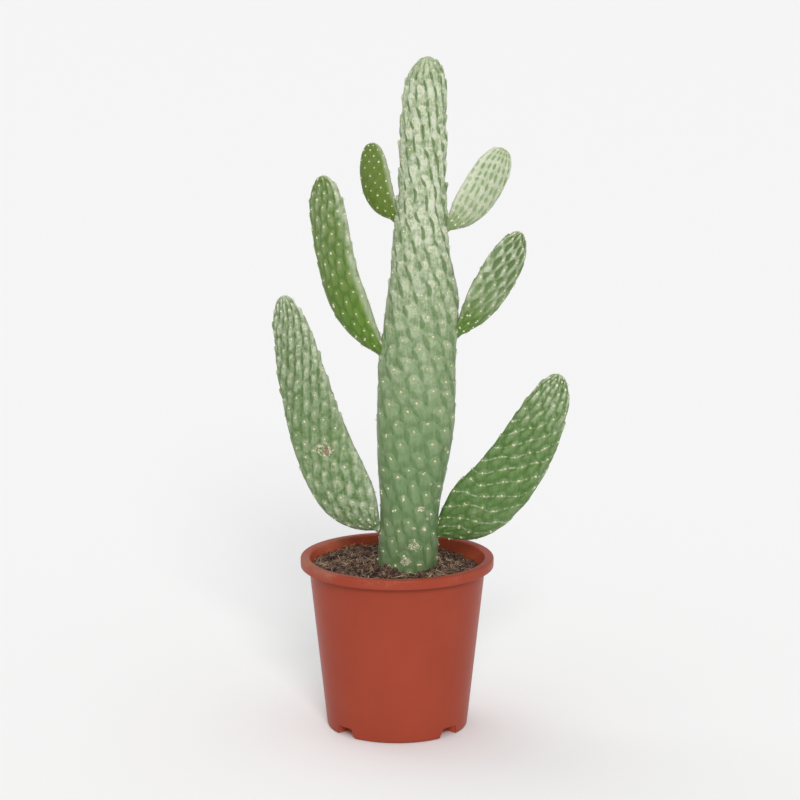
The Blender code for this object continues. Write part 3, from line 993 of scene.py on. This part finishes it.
class Finish:
    """One material: its Principled shader and the nodes that feed it."""

    def __init__(self, name, roughness=0.6):
        self.material = bpy.data.materials.new(name)
        self.material.use_nodes = True
        self.tree = self.material.node_tree
        self.shader = self.tree.nodes["Principled BSDF"]
        self.shader.inputs["Roughness"].default_value = roughness

    def feed(self, entry, value):
        if isinstance(value, Wire):
            self.tree.links.new(value.socket, entry)
        elif isinstance(value, tuple) and entry.type == "RGBA" and len(value) == 3:
            entry.default_value = (*value, 1.0)
        else:
            entry.default_value = value

    def add(self, kind, settings=None, inputs=None, output=0):
        node = self.tree.nodes.new(kind)
        for key, value in (settings or {}).items():
            if key == "stops":
                ramp = node.color_ramp
                while len(ramp.elements) < len(value):
                    ramp.elements.new(0.5)
                for element, (place, shade) in zip(ramp.elements, value):
                    element.position = place
                    element.color = (shade, shade, shade, 1.0)
            else:
                setattr(node, key, value)
        for key, value in (inputs or {}).items():
            self.feed(node.inputs[key], value)
        return Wire(self, node.outputs[output])

    def mix(self, share, low, high):
        """Blend two colours."""
        node = self.tree.nodes.new("ShaderNodeMix")
        node.data_type = "RGBA"
        self.feed(node.inputs[0], share)
        self.feed(node.inputs[6], low)
        self.feed(node.inputs[7], high)
        return Wire(self, node.outputs[2])

    def place(self):
        return self.add("ShaderNodeTexCoord", output="Object")

    def axis(self, vector, letter):
        return self.add("ShaderNodeSeparateXYZ", None, {"Vector": vector}, output=letter)

    def attribute(self, label):
        return self.add("ShaderNodeAttribute", {"attribute_name": label}, output="Fac")

    def turned(self, vector, rotation=(0.0, 0.0, 0.0), scale=(1.0, 1.0, 1.0)):
        return self.add("ShaderNodeMapping", None,
                        {"Vector": vector, "Rotation": rotation, "Scale": scale})

    def grain(self, vector, scale, detail=3.0, roughness=0.55):
        return self.add("ShaderNodeTexNoise", None, {"Vector": vector, "Scale": scale,
                                                     "Detail": detail, "Roughness": roughness})

    def paint(self, entry, value):
        self.feed(self.shader.inputs[entry], value)

    def bump(self, height, strength, distance):
        normal = self.add("ShaderNodeBump", None, {"Height": height, "Strength": strength,
                                                   "Distance": distance})
        self.paint("Normal", normal)

    def wear(self, piece):
        piece.data.materials.clear()
        piece.data.materials.append(self.material)


print("shader classes ready")

# %% [markdown]
# ## Skin colours
# The skin is green under a pale waxy bloom, and each pad carries its own amount of bloom along its
# length. The bloom is mottled and thin in the furrows, and the furrows and the low flanks of the
# humps are darkened as painted shade. Under every areole a pale spine runs down between two dark
# slits, where the bloom is rubbed thin and painted shade darkens the flank, more on one side than
# on the other. The net's own coordinates say where the slits are, and the sculpted height of the
# skin says where the crests and furrows are, so colour and shape agree.
# Cork speckles the old skin near the foot, and a few larger blotches of cork or brown are damage.

# %% How each skin looks
# Each look sets how far the furrows and the slits beside the spine are darkened. Both are partly
# thinner bloom and partly painted shade, and the slit on one side is darker than the other as
# painted shade.
Look = namedtuple("Look", "deep low high bloom slit slit_wide slit_high spine_wide slit_side "
                          "other_slit ridge furrow mottled lines rim scars heading")
WAX = (0.60, 0.645, 0.49)
LOOKS = {
    "trunk": Look((0.07, 0.13, 0.04), (0.125, 0.225, 0.088), (0.24, 0.33, 0.14),
                  ((0.0, 0.08), (0.28, 0.12), (0.5, 0.44), (0.72, 1.0), (0.93, 1.0), (1.0, 0.4)),
                  1.0, 0.60, 0.32, 0.30, 1.0, 0.5, 0.05, 0.35, 1.35, 0.0, 0.0, 1.0, 90.0),
    "pad_lower_left": Look((0.05, 0.11, 0.022), (0.122, 0.23, 0.062), (0.145, 0.225, 0.085),
                           ((0.0, 0.64), (0.25, 0.45), (0.5, 0.23), (0.8, 0.53), (0.95, 0.6)),
                           0.9, 0.58, 0.32, 0.28, -1.0, 0.4, 0.2, 0.45, 1.5, 0.0, 0.3, 0.4, 110.0),
    "pad_middle_left": Look((0.05, 0.115, 0.012), (0.125, 0.235, 0.024), (0.14, 0.22, 0.048),
                            ((0.0, 0.0), (0.4, 0.03), (0.65, 0.24), (0.85, 0.33), (1.0, 0.25)),
                            0.8, 0.6, 0.32, 0.26, -1.0, 0.5, 0.3, 0.6, 1.3, 0.0, 0.5, 0.1, 105.0),
    "pad_upper_left": Look((0.06, 0.115, 0.012), (0.12, 0.195, 0.024), (0.125, 0.19, 0.028),
                           ((0.0, 0.0), (0.5, 0.02), (1.0, 0.04)),
                           0.1, 0.4, 0.32, 0.15, -1.0, 0.5, 0.0, 0.1, 1.0, 0.0, 0.45, 0.0, 105.0),
    "pad_upper_right": Look((0.15, 0.235, 0.09), (0.19, 0.29, 0.09), (0.31, 0.40, 0.19),
                            ((0.0, 0.1), (0.18, 0.35), (0.32, 0.97), (0.8, 0.97), (1.0, 0.45)),
                            1.0, 0.78, 0.20, 0.28, -1.0, 0.9, 0.0, 0.0, 0.5, 0.0, -0.4, 0.0, 60.0),
    "pad_middle_right": Look((0.05, 0.11, 0.016), (0.12, 0.235, 0.024), (0.13, 0.215, 0.06),
                             ((0.0, 0.0), (0.22, 0.08), (0.4, 0.62), (0.8, 0.78), (1.0, 0.55)),
                             1.0, 0.98, 0.38, 0.22, -1.0, 0.4, 0.0, 0.1, 0.6, 0.0, -0.2, 0.1, 62.0),
    "pad_lower_right": Look((0.045, 0.105, 0.018), (0.08, 0.175, 0.03), (0.10, 0.20, 0.038),
                            ((0.0, 0.12), (0.45, 0.12), (0.7, 0.2), (0.93, 0.68)),
                            0.8, 0.55, 0.32, 0.25, -1.0, 0.5, 0.2, 0.6, 1.4, 0.5, 0.1, 0.3, 60.0),
}
CORK = (0.62, 0.58, 0.43)
WOUND_BROWN = (0.18, 0.11, 0.06)
BLOTCHES = {
    "pad_lower_left": ((-63.0, 251.0, 8.0, 0.8),),
    "trunk": ((15.3, 166.0, 5.5, 0.0), (7.6, 153.0, 5.0, 0.1), (21.0, 200.0, 3.5, 0.0)),
}


SKIN_SHINE = 0.24
SPINE_LIFT = AREOLE_LIFT - 0.20
SPINE_HIGH = 0.55
SLIT_OVERLAP = 0.02
HALO_WIDE = 0.16
HALO_HIGH = 0.09
HALO_BROWN = (0.42, 0.40, 0.18)
FRONT_EDGE = 0.004


def from_knots(line, row, lift):
    """Distances in lines and rows from a point this far above a cell's middle, for the cells
    of the even lines and for those of the odd lines."""
    found = []
    for side, up in ((0.25, 0.0), (-0.25, 0.5)):
        across = ((line * 0.5 + (side + 1.0)).fraction() - 0.5) * 2.0
        along = (row + (up - lift + 2.0)).fraction() - 0.5
        found.append((across, along))
    return found


def near_knots(knots, wide, high, ragged):
    """1 inside an oval round every knot, and 0 outside it, with a ragged edge."""
    shares = []
    for across, along in knots:
        across = across / wide
        along = along / high
        shares.append(across * across + along * along)
    return (shares[0].least(shares[1]) + ragged).between(1.4, 0.4)


def slits_beside_spine(look, line, row, ragged):
    """1 in the dark slits beside the spine: rubbed bloom and painted shade, stronger on one side."""
    centre = (look.slit_wide + look.spine_wide) / 2
    half = (look.slit_wide - look.spine_wide) / 2 + SLIT_OVERLAP
    slit = 0.0
    # Painted shade: the slit on the shaded side gets the full share, and the other side a smaller
    # one.
    for side, share in ((look.slit_side, 1.0), (-look.slit_side, look.other_slit)):
        beside = from_knots(line + centre * side, row, SPINE_LIFT)
        slit = near_knots(beside, half, look.slit_high, ragged) * share + slit
    return slit.held()


def blotched(finish, colour, blotches, where, pale_grain, brown_grain):
    """Colour with corky and brown blotches on the front, each an oval with a crumbled edge."""
    front = finish.axis(where, "Y").between(FRONT_EDGE, -FRONT_EDGE)
    for place_x, place_z, radius, browned in blotches:
        apart = finish.axis(where, "X") / MM - place_x
        above = finish.axis(where, "Z") / MM - place_z
        near = (1.0 - (apart * apart * 0.5 + above * above) / radius ** 2).held() * front
        crumb = (near * pale_grain * 4.0).between(0.35, 0.65)
        colour = finish.mix(crumb * 0.9, colour, CORK)
        brown = (near * brown_grain * 5.0).between(0.35, 0.7)
        colour = finish.mix(brown * browned, colour, WOUND_BROWN)
    return colour


def skin_finish(name):
    """The painted skin of one trunk or pad: green, then bloom, then cork and damage."""
    look = LOOKS[name]
    finish = Finish(f"{name} skin")
    finish.paint("Specular IOR Level", SKIN_SHINE)
    where = finish.place()
    net = finish.add("ShaderNodeUVMap", {"uv_map": "net"})
    line = finish.axis(net, "X")
    row = finish.axis(net, "Y")
    crest = finish.attribute("crest")
    along = finish.attribute("along")
    rim = finish.attribute("rim")
    broad = finish.grain(where, 38.0, 2.0)
    mottle = finish.grain(where, 160.0, 4.0, 0.6)
    speckle = finish.grain(where, 380.0, 3.0, 0.65)
    fine = finish.grain(where, 900.0, 3.0, 0.6)
    tipped = (0.0, math.radians(look.heading - 90.0), 0.0)
    grown = finish.turned(where, tipped, (1.0, 1.0, 0.16))
    streaks = finish.grain(grown, 420.0, 3.0, 0.6)

    ragged = (mottle - 0.5) * 1.5
    spine = near_knots(from_knots(line, row, SPINE_LIFT), look.spine_wide, SPINE_HIGH,
                       ragged * 0.5)
    pole = along.between(0.995, 0.95)
    # Painted shade and rubbed bloom: the slits beside each spine darken the green and thin the
    # bloom.
    slit = slits_beside_spine(look, line, row, ragged) * (broad * 1.2 + 0.4).held() * pole
    slit = slit * (along.between(0.3, 0.75) * 0.3 + 0.7)
    halo = near_knots(from_knots(line, row, AREOLE_LIFT), HALO_WIDE, HALO_HIGH, 0.0)
    # Painted shade: the furrows, low on the sculpted height, are darkened towards the deep green,
    # and their bloom is thinned.
    furrow = (crest + (streaks - 0.5) * 0.3).between(0.26, 0.0) * pole

    green = finish.mix(along.between(0.1, 0.9), look.low, look.high)
    green = finish.mix((broad * 1.7 - 0.45).held() * 0.5, green, look.high)
    green = finish.mix(speckle.between(0.5, 0.72) * 0.3, green, look.deep)
    green = finish.mix(furrow * (0.35 + 0.4 * look.furrow), green, look.deep)
    green = finish.mix(slit * look.slit * 0.6, green, look.deep)

    bloom = finish.add("ShaderNodeValToRGB", {"stops": look.bloom}, {"Fac": along})
    patch = (broad * 1.2 + mottle * 2.8 + speckle * 2.2 + streaks * 1.8 - 3.5).held()
    bloom = bloom * (patch * look.mottled + 0.9 - look.mottled * 0.5)
    bloom = bloom * (1.0 - (1.0 - spine) * look.ridge)
    bloom = bloom * (1.0 - slit * look.slit * 0.9) * (1.0 - furrow * look.furrow * 0.85)
    # Painted shade: the bloom is dimmed low on each hump and full on its crest.
    bloom = bloom * (0.74 + crest.between(0.25, 0.9) * 0.26)
    if look.rim:
        edge = (rim if look.rim > 0 else 0.0 - rim).between(0.72, 0.97)
        bloom = bloom + edge * abs(look.rim) * (mottle * 1.6 + streaks * 1.8 - 0.8).held()
    if look.lines:
        ridge = ((line * 0.5 + row + (9.75 - AREOLE_LIFT)).fraction() - 0.5).absolute()
        ridge = (ridge + (mottle - 0.5) * 0.08).between(0.10, 0.015)
        broken = speckle.between(0.42, 0.62) * along.between(0.85, 0.6)
        bloom = bloom + ridge * look.lines * broken
    colour = finish.mix(bloom.held(), green, WAX)
    colour = finish.mix((fine - 0.5).absolute() * 0.7, colour, look.deep)
    colour = finish.mix(halo * 0.3, colour, HALO_BROWN)
    if look.scars:
        specks = finish.add("ShaderNodeTexVoronoi", {"feature": "F1"},
                            {"Vector": where, "Scale": 105.0}, output="Distance")
        rare = finish.grain(where, 62.0, 1.0)
        scar = specks.between(0.26, 0.16) * rare.between(0.56, 0.64) * along.between(0.42, 0.08)
        colour = finish.mix(scar * look.scars * 0.85, colour, CORK)
    if name in BLOTCHES:
        colour = blotched(finish, colour, BLOTCHES[name], where, speckle + fine - 0.84,
                          mottle + streaks - 0.88)
    finish.paint("Base Color", colour)
    finish.paint("Roughness", (0.40 + bloom.held() * 0.26 + (fine - 0.5) * 0.16).held())
    finish.bump(mottle * 0.6 + streaks * 0.9 + fine * 0.35, 0.55, 0.0006)
    return finish


for name, piece in skins.items():
    skin_finish(name).wear(piece)
print("seven skins painted")

# %% Wool, peat, fibre and straw
wool = Finish("areole wool", 0.9)
where = wool.place()
shade = wool.grain(where, 900.0, 2.0)
wool.paint("Base Color", wool.mix(shade.between(0.35, 0.65), (0.62, 0.57, 0.35),
                                  (0.89, 0.86, 0.68)))
wool.bump(shade, 0.5, 0.0003)
for piece in areoles.values():
    wool.wear(piece)


def litter_finish(name, dark, light, scale, roughness):
    """Loose stuff: two tones in grains, rough all over."""
    finish = Finish(name, roughness)
    grain = finish.grain(finish.place(), scale, 4.0, 0.65)
    finish.paint("Base Color", finish.mix(grain.between(0.38, 0.66), dark, light))
    finish.bump(grain, 0.7, 0.0008)
    return finish


litter_finish("peat", (0.026, 0.012, 0.008), (0.15, 0.074, 0.048), 420.0, 0.95).wear(soil)
litter_finish("crumbs", (0.017, 0.008, 0.006), (0.19, 0.095, 0.062), 130.0,
              0.92).wear(litter["soil_crumbs"])
litter_finish("fibres", (0.10, 0.055, 0.035), (0.60, 0.45, 0.29), 60.0,
              0.85).wear(litter["soil_fibres"])
litter_finish("straws", (0.38, 0.28, 0.16), (0.70, 0.60, 0.42), 120.0,
              0.7).wear(litter["soil_straws"])
litter_finish("root bark", (0.20, 0.13, 0.07), (0.38, 0.27, 0.16), 300.0,
              0.9).wear(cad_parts["roots"])

# %% [markdown]
# ## Pot plastic
# The pot is satin plastic in terracotta red. The inside of the wall is painted a brighter red:
# painted light on the inner wall, which the plant shades.
# Peat dusts the top of the pot, faint scuffs run round the wall, and the surface has the slight
# unevenness of a moulding.

# %% Paint the pot
DARK_RED = (0.285, 0.046, 0.025)
BRIGHT_RED = (0.355, 0.063, 0.032)
PAINTED_LIGHT_INSIDE_RED = (0.66, 0.13, 0.062)
SCUFF_PINK = (0.52, 0.20, 0.14)
DUST_BROWN = (0.42, 0.27, 0.19)
PLASTIC_SHINE = 0.09

plastic = Finish("terracotta plastic", 0.3)
plastic.paint("Specular IOR Level", PLASTIC_SHINE)
where = plastic.place()
height = plastic.axis(where, "Z")
cloud = plastic.grain(where, 22.0, 3.0)
speck = plastic.grain(where, 620.0, 3.0, 0.7)
scuff_grain = plastic.grain(plastic.turned(where, scale=(1.0, 1.0, 14.0)), 26.0, 4.0, 0.7)
scuff = scuff_grain.between(0.62, 0.78)
near_top = height.between(pot_top - 9 * MM, pot_top - 0.5 * MM)
left = plastic.axis(where, "X").between(0.01, -0.07)
dust = near_top * (speck * 0.8 + cloud + left * 0.15).between(0.9, 1.2)
red = plastic.mix(cloud, DARK_RED, BRIGHT_RED)
apart = plastic.axis(where, "X")
beside = plastic.axis(where, "Y")
radius = (apart * apart + beside * beside) ** 0.5
wall_slope = (wall_radius(pot_top) - wall_radius(0.0)) / pot_top
# Painted light: the inner face of the wall is mixed towards a brighter red.
inside = (height * wall_slope + wall_radius(0.0) - radius).between(WALL * 0.6, WALL * 0.9)
red = plastic.mix(inside * 0.55, red, PAINTED_LIGHT_INSIDE_RED)
red = plastic.mix(scuff * 0.05, red, SCUFF_PINK)
red = plastic.mix(dust * 0.4, red, DUST_BROWN)
plastic.paint("Base Color", red)
plastic.paint("Roughness", (0.36 + scuff * 0.14 + dust * 0.35 + (speck - 0.5) * 0.10).held())
plastic.bump(cloud * 0.8 + speck * 0.06, 0.12, 0.0015)
plastic.wear(pot)

# %% Hang every piece on the frame
for name, piece in skins.items():
    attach(piece, "root")
    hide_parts(name)
for piece in areoles.values():
    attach(piece, "root")
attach(pot, "root")
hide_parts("pot")
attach(soil, "root")
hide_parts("soil")
for piece in litter.values():
    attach(piece, "root")

# %% [markdown]
# ## Floor and light
# The plant stands on a plain pale floor that runs out of sight. The key is a broad soft light from
# the front, above and a little to the right, so each hump shades the skin below it. A weaker
# light from behind keeps the back readable, and an even white sky fills the shadows.

# %% Floor and light
FLOOR_SIZE = 70.0
FLOOR_GAP = 0.0004
SKY_STRENGTH = 0.65

floor = new_piece("floor", bpy.ops.mesh.primitive_plane_add, size=FLOOR_SIZE,
                  location=(0, 0, 0))
floor.location.z = pot_low.z - FLOOR_GAP
apply_place(floor)
paper = Finish("pale floor", 0.9)
paper.paint("Base Color", (0.92, 0.92, 0.92))
paper.wear(floor)


def broad_light(name, toward, strength, softness):
    """A distant light that shines along a direction, with soft-edged shadows."""
    data = bpy.data.lights.new(name, "SUN")
    data.energy = strength
    data.angle = math.radians(softness)
    lamp = bpy.data.objects.new(name, data)
    bpy.context.scene.collection.objects.link(lamp)
    lamp.rotation_euler = Vector(toward).to_track_quat("-Z", "Y").to_euler()


broad_light("key", (-0.12, 1.0, -0.58), 1.55, 18)
broad_light("back", (0.5, -0.6, -1.2), 0.4, 40)
world = bpy.data.worlds.new("studio")
world.use_nodes = True
sky = world.node_tree.nodes["Background"]
sky.inputs["Color"].default_value = (1.0, 1.0, 1.0, 1.0)
sky.inputs["Strength"].default_value = SKY_STRENGTH
bpy.context.scene.world = world
bpy.context.scene.view_settings.view_transform = "Standard"
print("lit")
